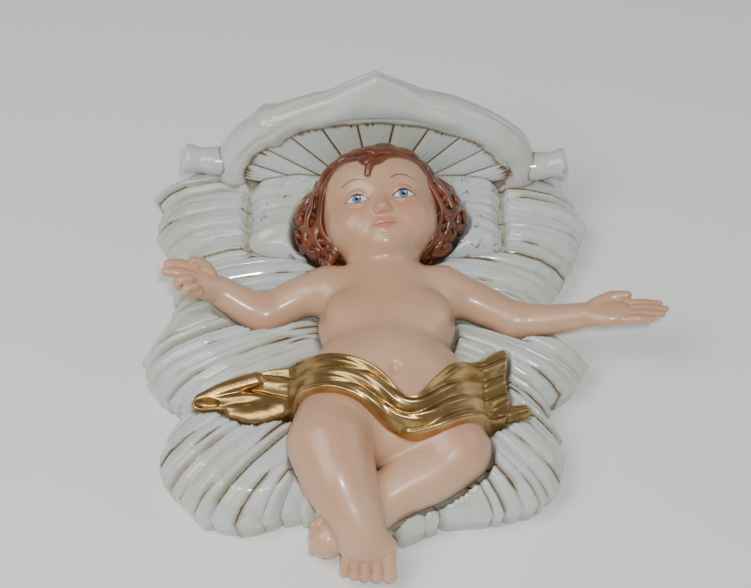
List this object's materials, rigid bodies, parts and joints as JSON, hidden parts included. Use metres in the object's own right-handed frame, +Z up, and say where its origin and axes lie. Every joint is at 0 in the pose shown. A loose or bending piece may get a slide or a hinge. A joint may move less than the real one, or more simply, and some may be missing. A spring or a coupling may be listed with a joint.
{
  "type": "infant nativity figurine in a straw crib",
  "caption": "Painted infant with a gilded loincloth, arms spread and ankles crossed, lying loose in a glazed straw crib with an arched headboard and pillow.",
  "frame": {"origin": "on the crib's flat underside, on the middle line of the straw bed that runs from head to foot, below the child's neck", "axes": "+Z up, +Y towards the headboard, +X towards the child's left hand"},
  "size_m": [0.2806, 0.2826, 0.1049],
  "materials": {
    "glazed_straw": "gloss",
    "painted_skin": "satin"
  },
  "bodies": {
    "root": {"crib": "glazed_straw", "child": "painted_skin"}
  },
  "joints": []
}
